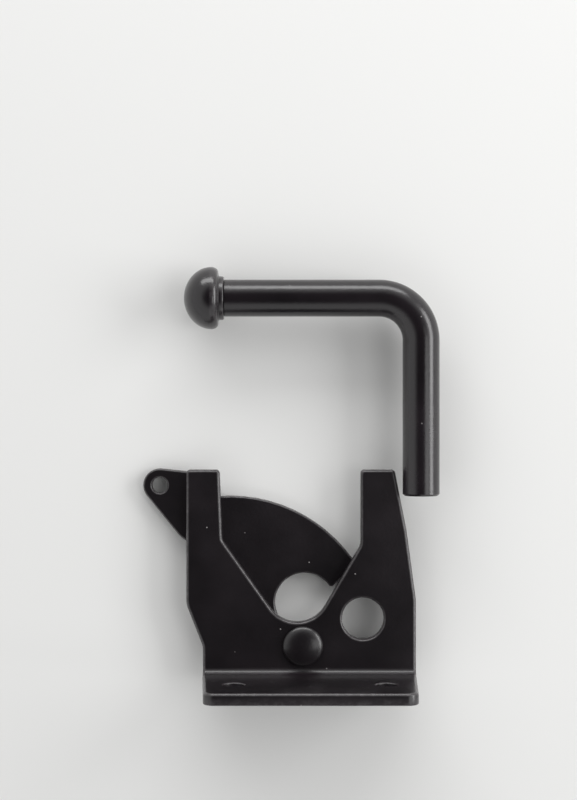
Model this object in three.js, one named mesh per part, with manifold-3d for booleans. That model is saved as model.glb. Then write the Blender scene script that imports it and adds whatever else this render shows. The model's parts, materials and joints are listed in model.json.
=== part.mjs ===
// Outswing gate latch: a bent steel body that is screwed to the gate, a gravity pawl riveted behind it, and
// the bent-rod striker that the pawl catches, which lies beside the latch as it is sold.
//
// Millimetres. +Y runs from the mounting flange to the mouth of the throat, +Z runs from the back of the latch
// to its front, and the origin is the middle of the flange's outer face. In use -X is up.

import * as THREE from 'three';
import { mergeVertices } from 'three/addons/utils/BufferGeometryUtils.js';
import Module from 'manifold-3d';

const wasm = await Module();
wasm.setup();

// ---------------------------------------------------------------- driving dimensions

const SHEET = 3.0;              // thickness of the body and of the pawl
const FLANGE_DEPTH = 32.0;      // how far the flange reaches, along Z
const FLANGE_HALF_WIDTH = 27.5; // at the bend
const FLANGE_TAPER = 1.5;       // lost from each side between the bend and the flange's free edge
const FLANGE_CORNER = 3.0;
const BEND_INSIDE = 1.8;        // inside radius of the bend
const BODY_HEIGHT = 55.6;       // from the mounting face to the tops of the two arms
const ARM_CORNER = 1.0;

const SEAT = { x: -3.2, y: 24.55, radius: 8.25, from: 215.4, to: 329.6 };
const LEFT_ARM = { outside: -31.8, mouth: -23.2, knee: [-22.5, 37.5], foot: 20.8 };
const RIGHT_ARM = { inside: 13.2, knee: 36.2, mouth: 22.0, waist: [25.1, 39.8], foot: 22.1 };
const PADLOCK_HOLE = { x: 13.8, y: 17.2, radius: 5.4 };
const SCREW_SPACING = 38.0;
const SCREW_HEIGHT = 3.0;       // of the screw holes, along Z
const SCREW_HOLE_RADIUS = 2.75;

const PIVOT = { x: -1.7, y: 10.2 };
const RIVET_SHANK = 3.1;
const RIVET_HEAD = { radius: 5.15, height: 2.1 };
const RIVET_TAIL = { radius: 4.2, height: 1.2 };
const WASHER = { radius: 5.8, thickness: 0.8 };
const PLATE_GAP = 1.1;          // between the back of the body and the pawl
const CLEARANCE = 0.25;         // round the rivet, and between pieces that touch

const PAWL_HUB = 7.4;
const PAWL_SLOT_HUB = 5.6;      // the hub where the striker passes over it
const PAWL_NOTCH = { x: 0.5, y: 10.7, radius: 7.7, from: 237.2, to: 38.0, clockwise: true };
const PAWL_CAM = { x: -18.9, y: -0.9, radius: 39.3, from: 36.0, to: 99.5 };
const PAWL_EAR = { x: -37.2, y: 41.2, radius: 4.35, from: 88.0, to: 219.2 };
const PAWL_TAIL = { end: 26.3, top: 1.2, bottom: -4.8, corner: 2.9 };
const CORD_HOLE_RADIUS = 2.05;

const CLOSED_STUD = { x: -26.0, y: 51.3, radius: 1.9 };
const OPEN_STUD = { x: -19.2, y: 6.6, radius: 1.6 };

const ROD_RADIUS = 4.75;
const ROD_BEND = 10.8;          // centre-line radius
const ROD_LEG_X = 28.7;         // the leg that is driven into the post
const ROD_END_Y = 49.0;
const ROD_BAR_Y = 99.8;         // the bar that the pawl catches
const ROD_SHOULDER_X = -22.0;
const SPIGOT = { radius: 3.0, length: 6.0 };
const BUTTON = { radius: 8.0, tip: -32.3, rim: -25.2, back: -23.5, collar: 5.6 };
const BUTTON_RIM_ROUND = 1.3;

// ---------------------------------------------------------------- levels along Z

const bodyBack = -FLANGE_DEPTH / 2;
const bodyFront = bodyBack + SHEET;
const flangeEdge = FLANGE_DEPTH / 2;
const pawlFront = bodyBack - PLATE_GAP;
const pawlBack = pawlFront - SHEET;
const rodAxis = pawlBack + BUTTON.radius;
const through = 2 * FLANGE_DEPTH;

// ---------------------------------------------------------------- finishes

const blackFinish = new THREE.MeshStandardMaterial({ color: 0x1b191b, roughness: 0.38, metalness: 0.25 });
const blackRod = new THREE.MeshStandardMaterial({ color: 0x171517, roughness: 0.26, metalness: 0.25 });
const plainSteel = new THREE.MeshStandardMaterial({ color: 0x6f7072, roughness: 0.42, metalness: 0.9 });

// ---------------------------------------------------------------- outlines

const radians = THREE.MathUtils.degToRad;

function onArc(arc, degrees) {
  const angle = radians(degrees);
  return [arc.x + arc.radius * Math.cos(angle), arc.y + arc.radius * Math.sin(angle)];
}

// Rounds the corner between two straight runs of an outline with an arc that touches both.
function addRoundCorner(outline, before, corner, after) {
  const [x, y, radius] = corner;
  const point = new THREE.Vector2(x, y);
  const back = new THREE.Vector2(before[0], before[1]).sub(point).normalize();
  const ahead = new THREE.Vector2(after[0], after[1]).sub(point).normalize();
  const half = Math.acos(back.dot(ahead)) / 2;
  const reach = radius / Math.tan(half);
  const middle = back.clone().add(ahead).normalize().multiplyScalar(radius / Math.sin(half)).add(point);
  const start = back.clone().multiplyScalar(reach).add(point).sub(middle);
  const end = ahead.clone().multiplyScalar(reach).add(point).sub(middle);
  const clockwise = back.cross(ahead) > 0;
  outline.absarc(middle.x, middle.y, radius, start.angle(), end.angle(), clockwise);
}

// A closed outline of square corners [x, y], round corners [x, y, radius], and arcs {x, y, radius, from, to}
// in degrees. The first step is a round corner or an arc.
function makeOutline(steps) {
  const outline = new THREE.Shape();
  steps.forEach((step, i) => {
    if (!Array.isArray(step)) {
      outline.absarc(step.x, step.y, step.radius, radians(step.from), radians(step.to), step.clockwise ?? false);
      return;
    }
    if (step.length === 2) {
      outline.lineTo(step[0], step[1]);
      return;
    }
    const before = steps.at(i - 1);
    const after = steps[(i + 1) % steps.length];
    const lastPoint = Array.isArray(before) ? before : onArc(before, before.to);
    const nextPoint = Array.isArray(after) ? after : onArc(after, after.from);
    addRoundCorner(outline, lastPoint, step, nextPoint);
  });
  return outline;
}

// ---------------------------------------------------------------- solids

// Each arc of an outline gets twice curveSegments straight steps.
function extrude(outline, depth, curveSegments = 5) {
  return new THREE.ExtrudeGeometry(outline, { depth, curveSegments, bevelEnabled: false });
}

function turned(profile, segments) {
  return new THREE.LatheGeometry(profile.map(([radius, height]) => new THREE.Vector2(radius, height)), segments);
}

// A lathe form has its axis on Y; this stands it along Z.
function turnedAlongZ(profile, segments) {
  return turned(profile, segments).rotateX(Math.PI / 2);
}

function drill(x, y, radius, segments = 28) {
  const bit = new THREE.CylinderGeometry(radius, radius, through, segments);
  return bit.rotateX(Math.PI / 2).translate(x, y, 0);
}

function solid(geometry) {
  const bare = geometry.clone();
  bare.deleteAttribute('normal');
  bare.deleteAttribute('uv');
  const merged = mergeVertices(bare);
  return new wasm.Manifold(new wasm.Mesh({
    numProp: 3,
    vertProperties: new Float32Array(merged.attributes.position.array),
    triVerts: new Uint32Array(merged.index.array),
  }));
}

function fromSolid(manifold) {
  const result = manifold.getMesh();
  const geometry = new THREE.BufferGeometry();
  geometry.setAttribute('position', new THREE.BufferAttribute(result.vertProperties, 3));
  geometry.setIndex(new THREE.BufferAttribute(result.triVerts, 1));
  geometry.computeVertexNormals();
  return geometry;
}

function cut(geometry, cutters) {
  return fromSolid(cutters.reduce((whole, cutter) => whole.subtract(solid(cutter)), solid(geometry)));
}

const group = new THREE.Group();

function place(name, geometry, material, x = 0, y = 0, z = 0) {
  const mesh = new THREE.Mesh(geometry, material);
  mesh.name = name;
  mesh.position.set(x, y, z);
  group.add(mesh);
}

// ---------------------------------------------------------------- latch body

// The bent strip, as it is seen from the side: cheek, bend and flange. Drawn in Y and Z, and as wide as needed.
function bentStrip() {
  const side = makeOutline([
    [0, bodyBack, BEND_INSIDE + SHEET],
    [BODY_HEIGHT + 1, bodyBack],
    [BODY_HEIGHT + 1, bodyFront],
    [SHEET, bodyFront, BEND_INSIDE],
    [SHEET, flangeEdge],
    [0, flangeEdge],
  ]);
  const width = 4 * FLANGE_HALF_WIDTH;
  const yzx = new THREE.Matrix4().makeBasis(
    new THREE.Vector3(0, 1, 0),
    new THREE.Vector3(0, 0, 1),
    new THREE.Vector3(1, 0, 0),
  );
  return extrude(side, width).translate(0, 0, -width / 2).applyMatrix4(yzx);
}

// The front view of the body: the two arms, the funnel throat between them, and the round seat at its foot.
function bodyFace() {
  return makeOutline([
    [-FLANGE_HALF_WIDTH, 10, 4],
    [-FLANGE_HALF_WIDTH, -1],
    [FLANGE_HALF_WIDTH, -1],
    [FLANGE_HALF_WIDTH, RIGHT_ARM.foot, 12],
    [...RIGHT_ARM.waist, 20],
    [RIGHT_ARM.mouth, BODY_HEIGHT, ARM_CORNER],
    [RIGHT_ARM.inside, BODY_HEIGHT, ARM_CORNER],
    [RIGHT_ARM.inside, RIGHT_ARM.knee, 2.5],
    { ...SEAT, from: SEAT.to, to: SEAT.from, clockwise: true },
    [...LEFT_ARM.knee, 2.5],
    [LEFT_ARM.mouth, BODY_HEIGHT, ARM_CORNER],
    [LEFT_ARM.outside, BODY_HEIGHT, ARM_CORNER],
    [LEFT_ARM.outside, LEFT_ARM.foot, 8],
  ]);
}

// The flange as it is seen from the gate, drawn in Z and X: it narrows toward its free edge.
function flangeFace() {
  const edge = FLANGE_HALF_WIDTH - FLANGE_TAPER;
  const wide = 2 * FLANGE_HALF_WIDTH;
  const outline = makeOutline([
    [flangeEdge, -edge, FLANGE_CORNER],
    [flangeEdge, edge, FLANGE_CORNER],
    [bodyFront + BEND_INSIDE, FLANGE_HALF_WIDTH],
    [bodyFront + BEND_INSIDE, wide],
    [-through, wide],
    [-through, -wide],
    [bodyFront + BEND_INSIDE, -wide],
    [bodyFront + BEND_INSIDE, -FLANGE_HALF_WIDTH],
  ]);
  const zxy = new THREE.Matrix4().makeBasis(
    new THREE.Vector3(0, 0, 1),
    new THREE.Vector3(1, 0, 0),
    new THREE.Vector3(0, 1, 0),
  );
  return extrude(outline, 2 * BODY_HEIGHT).translate(0, 0, -BODY_HEIGHT / 2).applyMatrix4(zxy);
}

function screwHole(x) {
  const bit = new THREE.CylinderGeometry(SCREW_HOLE_RADIUS, SCREW_HOLE_RADIUS, 3 * SHEET, 28);
  return bit.translate(x, 0, SCREW_HEIGHT);
}

function latchBody() {
  const face = extrude(bodyFace(), through).translate(0, 0, -through / 2);
  const blank = solid(bentStrip()).intersect(solid(face)).intersect(solid(flangeFace()));
  return cut(fromSolid(blank), [
    drill(PADLOCK_HOLE.x, PADLOCK_HOLE.y, PADLOCK_HOLE.radius),
    drill(PIVOT.x, PIVOT.y, RIVET_SHANK + CLEARANCE),
    screwHole(-SCREW_SPACING / 2),
    screwHole(SCREW_SPACING / 2),
  ]);
}

place('latch_body', latchBody(), blackFinish);

// ---------------------------------------------------------------- pawl, drawn about its pivot

// Round the plate from the hub: tail, slot and notch for the striker, lip, cam edge, shoulder, ear, stop recess.
function pawlFace() {
  const tailTop = THREE.MathUtils.radToDeg(Math.asin(PAWL_TAIL.top / PAWL_SLOT_HUB));
  const tailFoot = THREE.MathUtils.radToDeg(Math.asin(PAWL_TAIL.bottom / PAWL_HUB));
  const shoulder = CLOSED_STUD.x - CLOSED_STUD.radius - CLEARANCE - PIVOT.x;
  const camTop = onArc(PAWL_CAM, PAWL_CAM.to)[1];
  return makeOutline([
    { x: 0, y: 0, radius: PAWL_HUB, from: 204.5, to: 360 + tailFoot },
    [PAWL_TAIL.end, PAWL_TAIL.bottom, PAWL_TAIL.corner],
    [PAWL_TAIL.end, PAWL_TAIL.top, PAWL_TAIL.corner],
    { x: 0, y: 0, radius: PAWL_SLOT_HUB, from: tailTop, to: 131.0 },
    PAWL_NOTCH,
    [7.3, 14.5, 0.8],
    [13.9, 20.75, 0.8],
    PAWL_CAM,
    [shoulder, camTop - 0.2, 0.8],
    [shoulder, 44.4, 1.5],
    PAWL_EAR,
    [-31.9, 27.8, 6],
    [-15.1, 16.5, 6],
    [-9.8, 9.8, 1.5],
    [-10.6, 5.4, 2],
  ]);
}

function pawl() {
  const sink = RIVET_TAIL.radius - RIVET_SHANK;
  const bore = [
    [0, -1],
    [RIVET_TAIL.radius + CLEARANCE + sink / RIVET_TAIL.height, -1],
    [RIVET_SHANK + CLEARANCE, RIVET_TAIL.height],
    [RIVET_SHANK + CLEARANCE, SHEET + 1],
    [0, SHEET + 1],
  ];
  return cut(extrude(pawlFace(), SHEET, 6), [
    turnedAlongZ(bore, 28),
    drill(PAWL_EAR.x, PAWL_EAR.y, CORD_HOLE_RADIUS, 20),
  ]);
}

place('pawl', pawl(), blackFinish, PIVOT.x, PIVOT.y, pawlBack);

// ---------------------------------------------------------------- pivot

// The rivet's domed head bears on the body, and its tail is set flush in the back of the pawl.
function pivotRivet() {
  const headFoot = bodyFront + CLEARANCE - pawlBack;
  const dome = new THREE.EllipseCurve(0, headFoot + 0.6, RIVET_HEAD.radius, RIVET_HEAD.height - 0.6, 0, Math.PI / 2);
  return turnedAlongZ([
    [0, 0],
    [RIVET_TAIL.radius, 0],
    [RIVET_SHANK, RIVET_TAIL.height],
    [RIVET_SHANK, headFoot],
    [RIVET_HEAD.radius, headFoot],
    ...dome.getPoints(5).map((point) => [point.x, point.y]).slice(0, -1),
    [0, headFoot + RIVET_HEAD.height],
  ], 28);
}

function pivotWasher() {
  const bore = RIVET_SHANK + CLEARANCE;
  return turnedAlongZ([
    [bore, 0],
    [WASHER.radius, 0],
    [WASHER.radius, WASHER.thickness],
    [bore, WASHER.thickness],
    [bore, 0],
  ], 28);
}

place('pivot_rivet', pivotRivet(), blackFinish, PIVOT.x, PIVOT.y, pawlBack);
place('pivot_washer', pivotWasher(), plainSteel, PIVOT.x, PIVOT.y, pawlFront + (PLATE_GAP - WASHER.thickness) / 2);

// ---------------------------------------------------------------- stop studs, welded to the back of the body

function stopStud(radius) {
  const length = bodyBack - CLEARANCE - pawlBack;
  const chamfer = 0.4;
  return turnedAlongZ([
    [0, 0],
    [radius - chamfer, 0],
    [radius, chamfer],
    [radius, length],
    [0, length],
  ], 20);
}

place('closed_stop_stud', stopStud(CLOSED_STUD.radius), blackFinish, CLOSED_STUD.x, CLOSED_STUD.y, pawlBack);
place('open_stop_stud', stopStud(OPEN_STUD.radius), blackFinish, OPEN_STUD.x, OPEN_STUD.y, pawlBack);

// ---------------------------------------------------------------- striker

const BEND_STEPS = 12;

// The rod's centre line: one step for each straight leg, and the steps between them round the bend.
class RodCentreLine extends THREE.Curve {
  getUtoTmapping(u) {
    return u;
  }

  getPoint(t, target = new THREE.Vector3()) {
    const step = t * (BEND_STEPS + 2);
    const bendX = ROD_LEG_X - ROD_BEND;
    const bendY = ROD_BAR_Y - ROD_BEND;
    if (step <= 1) {
      return target.set(THREE.MathUtils.lerp(ROD_SHOULDER_X, bendX, step), ROD_BAR_Y, rodAxis);
    }
    if (step >= BEND_STEPS + 1) {
      return target.set(ROD_LEG_X, THREE.MathUtils.lerp(bendY, ROD_END_Y, step - BEND_STEPS - 1), rodAxis);
    }
    const angle = (Math.PI / 2) * (1 - (step - 1) / BEND_STEPS);
    return target.set(bendX + ROD_BEND * Math.cos(angle), bendY + ROD_BEND * Math.sin(angle), rodAxis);
  }
}

function strikerRod() {
  const section = new THREE.Shape().absarc(0, 0, ROD_RADIUS, 0, 2 * Math.PI);
  const bar = new THREE.ExtrudeGeometry(section, {
    curveSegments: 14,
    steps: BEND_STEPS + 2,
    extrudePath: new RodCentreLine(),
  });
  const spigot = new THREE.CylinderGeometry(SPIGOT.radius, SPIGOT.radius, SPIGOT.length + 1, 24);
  spigot.rotateZ(Math.PI / 2).translate(ROD_SHOULDER_X - (SPIGOT.length - 1) / 2, ROD_BAR_Y, rodAxis);
  return fromSolid(solid(bar).add(solid(spigot)));
}

// A domed head with a short collar and a blind bore for the rod's spigot, turned about the bar's axis.
function strikerButton() {
  const dome = new THREE.EllipseCurve(0, 0, BUTTON.radius, BUTTON.rim - BUTTON.tip, 0, Math.PI / 2);
  const round = new THREE.EllipseCurve(
    BUTTON.radius - BUTTON_RIM_ROUND, BUTTON.rim + BUTTON_RIM_ROUND / 4, BUTTON_RIM_ROUND,
    BUTTON.back - BUTTON.rim - BUTTON_RIM_ROUND / 4, 0, Math.PI / 2,
  );
  const bore = SPIGOT.radius + CLEARANCE;
  const collarEnd = ROD_SHOULDER_X - CLEARANCE;
  const profile = [
    [0, ROD_SHOULDER_X - SPIGOT.length - 0.5],
    [bore, ROD_SHOULDER_X - SPIGOT.length - 0.5],
    [bore, collarEnd],
    [BUTTON.collar - 0.4, collarEnd],
    [BUTTON.collar, collarEnd - 0.4],
    [BUTTON.collar, BUTTON.back],
    ...round.getPoints(4).reverse().map((point) => [point.x, point.y]),
    ...dome.getPoints(9).map((point) => [point.x, BUTTON.rim - point.y]).slice(0, -1),
    [0, BUTTON.tip],
  ];
  return turned(profile.reverse(), 28).rotateZ(-Math.PI / 2);
}

place('striker_rod', strikerRod(), blackRod);
place('striker_button', strikerButton(), blackRod, 0, ROD_BAR_Y, rodAxis);

export default group;
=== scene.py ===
"""Looks for an outswing gate latch: the black stamped body, its pawl and rivet, and the bent-rod striker.

Every size is in metres in the part's frame: +Y runs from the mounting flange to the mouth of the throat, and
+Z from the back of the latch to its front.
"""

import json
import math

import bmesh
import bpy
from bpy.props import FloatProperty, FloatVectorProperty, IntProperty, PointerProperty
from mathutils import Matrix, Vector
from mathutils.geometry import delaunay_2d_cdt


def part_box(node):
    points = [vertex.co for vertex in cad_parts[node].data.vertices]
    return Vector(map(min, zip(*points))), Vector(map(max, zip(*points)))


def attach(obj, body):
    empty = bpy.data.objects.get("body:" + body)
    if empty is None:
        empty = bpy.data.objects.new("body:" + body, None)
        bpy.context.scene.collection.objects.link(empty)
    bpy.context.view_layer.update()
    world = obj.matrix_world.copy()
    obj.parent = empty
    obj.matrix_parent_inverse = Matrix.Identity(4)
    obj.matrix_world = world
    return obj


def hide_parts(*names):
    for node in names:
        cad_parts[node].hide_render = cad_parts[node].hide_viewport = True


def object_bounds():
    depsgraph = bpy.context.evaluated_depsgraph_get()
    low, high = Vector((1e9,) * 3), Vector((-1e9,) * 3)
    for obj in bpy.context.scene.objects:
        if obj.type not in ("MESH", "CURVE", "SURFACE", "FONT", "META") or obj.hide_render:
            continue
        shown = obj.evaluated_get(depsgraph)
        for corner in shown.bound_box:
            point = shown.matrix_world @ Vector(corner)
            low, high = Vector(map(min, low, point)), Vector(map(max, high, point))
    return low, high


bl_info = {
    "name": "Outswing Gate Latch",
    "version": (1, 0, 0),
    "blender": (4, 5, 0),
    "location": "3D View > Sidebar > Gate Latch",
    "description": "Builds the visible pieces of an outswing gate latch round its CAD frame",
    "category": "Mesh",
}

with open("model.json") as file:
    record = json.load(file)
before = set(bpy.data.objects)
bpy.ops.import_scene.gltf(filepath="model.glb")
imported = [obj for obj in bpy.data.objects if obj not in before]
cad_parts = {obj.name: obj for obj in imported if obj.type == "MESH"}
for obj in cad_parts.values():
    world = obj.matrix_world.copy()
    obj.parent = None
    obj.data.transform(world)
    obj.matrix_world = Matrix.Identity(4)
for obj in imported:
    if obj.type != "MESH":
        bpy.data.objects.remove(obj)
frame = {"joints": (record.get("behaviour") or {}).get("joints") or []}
CAD_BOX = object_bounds()

MM = 0.001
BODY_LOW, BODY_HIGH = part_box("latch_body")
PAWL_LOW, PAWL_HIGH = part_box("pawl")
RIVET_LOW, RIVET_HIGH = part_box("pivot_rivet")
WASHER_LOW, WASHER_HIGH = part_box("pivot_washer")
ROD_LOW, ROD_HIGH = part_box("striker_rod")
BUTTON_LOW, BUTTON_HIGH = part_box("striker_button")
STUD_BOXES = [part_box("closed_stop_stud"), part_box("open_stop_stud")]
PIVOT = Vector(next(j["pos_m"] for j in frame["joints"] if j["name"] == "pawl_pivot"))

SHEET = PAWL_HIGH.z - PAWL_LOW.z
ROD_RADIUS = (ROD_HIGH.z - ROD_LOW.z) / 2
ROD_AXIS = (ROD_HIGH.z + ROD_LOW.z) / 2
BAR_Y = ROD_HIGH.y - ROD_RADIUS
LEG_X = ROD_HIGH.x - ROD_RADIUS
REST_LEVEL = CAD_BOX[0].z

ARC_STEP = math.radians(5)       # how finely an outline's arcs are drawn
ROLL_STEPS = 5                   # how finely a rolled edge is drawn
BEND_STEPS = 18                  # how finely the flange's bend is drawn
SUPPORT = 0.12 * MM              # the flat ring inside a rolled edge, which keeps the face's shading flat
HAIR = 0.02 * MM                 # a gap or an overlap too small to see
LEAST_STEP = 0.01 * MM           # the least distance between points of an outline or of the rod
TOUCHING = 1e-7                  # mesh points closer than this are one point
SHARP = math.radians(32)         # a mesh edge that turns more than this stays sharp
EDGE = "edge_wear_and_highlight"               # vertex attribute: how far the coat is rubbed down, plus a painted edge highlight, from 0 on flats to 1 on rolled edges

# Shares of a stop stud's radius.
NOSE_SHARE = 0.22                # what its chamfer takes off
BEAD_SHARE = 0.24                # the radius of its weld bead
BEAD_REACH = 1.12                # the weld bead's centre line
RIPPLE_SHARE = 0.12              # how much the bead's ripples swell it, as a share of the bead

# Each light: its place in X and Y from the middle of the part and its height, its size, and its power.
SOFTBOXES = {
    "far softbox": ((-0.05, 0.80, 0.30), (1.1, 0.28), 5.0),
    "right softbox": ((0.75, 0.15, 0.36), (0.7, 0.3), 3.6),
    "high right softbox": ((0.55, -0.1, 0.85), (0.4, 0.4), 1.0),
}


# ---------------------------------------------------------------- settings

def length(name, millimetres, description):
    return FloatProperty(
        name=name, default=millimetres * MM, unit="LENGTH", precision=4, description=description
    )


def bearing(name, degrees, description):
    return FloatProperty(name=name, default=math.radians(degrees), subtype="ANGLE", description=description)


def place(name, x, y, description):
    return FloatVectorProperty(
        name=name, size=2, default=(x * MM, y * MM), unit="LENGTH", precision=4, description=description
    )


def colour(name, rgb, description):
    return FloatVectorProperty(
        name=name, size=3, default=rgb, min=0.0, max=1.0, subtype="COLOR", description=description
    )


def share(name, value, description):
    return FloatProperty(
        name=name, default=value, min=0.0, max=1.0, subtype="FACTOR", description=description
    )


class BodySettings(bpy.types.PropertyGroup):
    """Sizes of the bent body."""

    bend_inside: length("Bend inside radius", 1.8, "Inside radius between the cheek and the flange")
    taper: length("Flange taper", 1.5, "What each side of the flange loses by its free edge")
    flange_corner: length("Flange corner", 3.0, "Radius of the flange's two free corners")
    fold_round: length("Fold rounding", 3.0, "Radius where each side turns in to the flange's taper")
    arm_corner: length("Arm corner", 1.0, "Radius of the corners at the tops of the arms")
    knee: length("Knee radius", 2.5, "Radius where an arm's inner edge turns into the funnel")
    seat: place("Seat centre", -3.2, 24.55, "Centre of the round seat at the foot of the throat")
    seat_radius: length("Seat radius", 8.25, "Radius of the seat")
    seat_start: bearing("Seat start", 329.6, "Where the seat meets the funnel's right side")
    seat_end: bearing("Seat end", 215.4, "Where the seat meets the funnel's left side")
    left_mouth: length("Left arm, inner edge", -23.2, "X of the left arm's inner edge at the mouth")
    left_knee: place("Left knee", -22.5, 37.5, "Where the left arm's inner edge turns in")
    left_foot: length("Left shoulder", 20.8, "Y where the left outer edge turns in to the flange")
    left_foot_round: length("Left shoulder rounding", 8.0, "Radius of the left shoulder")
    hip: length("Hip", 10.0, "Y where the left outer edge reaches the flange's width")
    hip_round: length("Hip rounding", 4.0, "Radius of the hip")
    right_inside: length("Right arm, inner edge", 13.2, "X of the right arm's inner edge")
    right_knee: length("Right knee", 36.2, "Y where the right arm's inner edge turns in")
    right_mouth: length("Right arm, outer edge", 22.0, "X of the right arm's outer edge at the mouth")
    right_waist: place("Right waist", 25.1, 39.8, "Where the right outer edge changes slope")
    waist_round: length("Waist rounding", 20.0, "Radius of the right waist")
    right_foot: length("Right shoulder", 22.1, "Y where the right outer edge runs straight to the flange")
    right_foot_round: length("Right shoulder rounding", 12.0, "Radius of the right shoulder")
    padlock: place("Padlock hole", 13.8, 17.2, "Centre of the padlock hole")
    padlock_radius: length("Padlock hole radius", 5.4, "Radius of the padlock hole")
    screw_spacing: length("Screw spacing", 38.0, "Distance between the two flange holes")
    screw_height: length("Screw height", 3.0, "Z of the flange holes")
    screw_radius: length("Screw hole radius", 2.75, "Radius of the flange holes")
    roll: length("Rolled edge", 0.8, "Radius of the rolled front edge")
    burr: length("Back edge", 0.3, "Radius of the back edge")
    padlock_roll: length("Padlock hole edge", 0.6, "Radius of the padlock hole's front edge")
    hole_roll: length("Small hole edge", 0.35, "Radius of the other holes' front edges")


class PawlSettings(bpy.types.PropertyGroup):
    """Sizes of the pawl. Places are from its pivot."""

    hub: length("Hub radius", 7.4, "Radius of the hub, away from the slot")
    hub_start: bearing("Hub start", 204.5, "Where the hub's arc begins, under the arm")
    slot_hub: length("Slot hub radius", 5.6, "Radius of the hub where the striker passes")
    slot_hub_end: bearing("Slot hub end", 131.0, "Where the slot's arc runs out into the notch")
    notch: place("Notch centre", 0.5, 10.7, "Centre of the round notch")
    notch_radius: length("Notch radius", 7.7, "Radius of the notch")
    notch_start: bearing("Notch start", 237.2, "Where the notch's arc begins, at the hub")
    notch_end: bearing("Notch end", 38.0, "Where the notch's arc ends, at the nose")
    nose: place("Nose", 7.3, 14.5, "Corner between the notch and the foot of the cam")
    nose_round: length("Nose rounding", 0.8, "Radius of the corners at the nose, the cam's foot and its top")
    cam: place("Cam centre", -18.9, -0.9, "Centre of the cam edge")
    cam_radius: length("Cam radius", 39.3, "Radius of the cam edge")
    cam_foot: place("Cam foot", 13.9, 20.75, "Corner below the cam edge")
    cam_start: bearing("Cam start", 36.0, "Where the cam's arc begins")
    cam_end: bearing("Cam end", 99.5, "Where the cam's arc ends, by the closed stop")
    stop_gap: length("Stop gap", 0.25, "Gap between the shoulder and the closed stop")
    shoulder_drop: length("Shoulder drop", 0.2, "How far the shoulder's foot lies below the cam's end")
    shoulder_top: length("Shoulder top", 44.4, "Upper end of the shoulder, by the ear")
    shoulder_round: length("Shoulder rounding", 1.5, "Radius at the shoulder's upper end")
    ear: place("Ear centre", -37.2, 41.2, "Centre of the ear and of its cord hole")
    ear_radius: length("Ear radius", 4.33, "Radius of the ear")
    ear_start: bearing("Ear start", 88.0, "Where the ear's arc begins")
    ear_end: bearing("Ear end", 219.2, "Where the ear's arc ends")
    cord_radius: length("Cord hole radius", 2.05, "Radius of the pull-cord hole")
    arm_elbow: place("Arm elbow", -31.9, 27.8, "Upper bend in the arm's lower edge")
    arm_foot: place("Arm foot", -15.1, 16.5, "Lower bend in the arm's lower edge")
    arm_round: length("Arm rounding", 6.0, "Radius of the arm's two bends")
    hollow_top: place("Hollow, top", -9.8, 9.8, "Where the arm meets the hub")
    hollow_top_round: length("Hollow rounding, top", 1.5, "Radius where the arm meets the hub")
    hollow_foot: place("Hollow, foot", -10.6, 5.4, "Corner on the hub below the arm")
    hollow_foot_round: length("Hollow rounding, foot", 2.0, "Radius of the corner below the arm")
    tail_end: length("Tail end", 26.3, "How far the tail reaches")
    tail_top: length("Tail top", 1.2, "Upper edge of the tail")
    tail_bottom: length("Tail bottom", -4.8, "Lower edge of the tail")
    tail_corner: length("Tail corner", 2.9, "Radius of the tail's corners")
    roll: length("Rolled edge", 0.5, "Radius of the rolled front edge")
    burr: length("Back edge", 0.25, "Radius of the back edge")
    cord_roll: length("Cord hole edge", 0.45, "Radius of the cord hole's front edge")
    bore_edge: length("Bore edge", 0.3, "Chamfer on the front of the pivot bore")


class PivotSettings(bpy.types.PropertyGroup):
    """Sizes of the rivet, its washer and the stop studs."""

    shank: length("Shank radius", 3.1, "Radius of the rivet's shank")
    clearance: length("Clearance", 0.2, "Play round the shank")
    tail: length("Tail radius", 4.2, "Radius of the rivet's flush tail")
    tail_height: length("Tail height", 1.2, "Depth of the rivet's flush tail")
    head_edge: length("Head edge", 0.6, "Height of the rivet head's straight rim")
    head_gap: length("Head gap", 0.05, "Gap between the rivet's head and the cheek")
    soft: length("Softened edge", 0.15, "Softening of the edges of the rivet and the washer")
    sides: IntProperty(name="Sides", default=72, min=24, description="Facets round the rivet and the washer")
    chamfer: length("Stud chamfer", 0.4, "Length of the chamfer on the stop studs")
    weld: length("Weld bead", 0.42, "Height of the weld bead on each side of its middle")
    ripples: IntProperty(name="Weld ripples", default=14, min=4, description="Ripples in a stud's weld bead")


class StrikerSettings(bpy.types.PropertyGroup):
    """Sizes of the striker rod and its button."""

    bend: length("Bend radius", 10.8, "Radius of the bend, on the rod's centre line")
    shoulder: length("Shoulder", -22.0, "X where the rod steps down to its spigot")
    spigot: length("Spigot radius", 2.9, "Radius of the spigot inside the button")
    chamfer: length("End chamfer", 0.5, "Chamfer round each end of the rod")
    lip: length("Shoulder chamfer", 0.2, "Chamfer round the shoulder")
    bend_steps: IntProperty(name="Bend steps", default=36, min=8, description="Facets along the bend")
    rim: length("Rim", -25.2, "X of the button's widest place")
    rim_round: length("Rim rounding", 1.3, "Radius behind the button's rim")
    back: length("Button back", -23.5, "X of the button's back face")
    collar: length("Collar radius", 5.6, "Radius of the button's collar")
    collar_round: length("Collar rounding", 0.35, "Radius of the collar's edge")
    bore_play: length("Bore play", 0.3, "Play between the spigot and the button's bore")
    bore_room: length("Bore room", 0.4, "How far the button's bore runs past the spigot")
    sides: IntProperty(name="Sides", default=96, min=24, description="Facets round the rod and the button")


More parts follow.
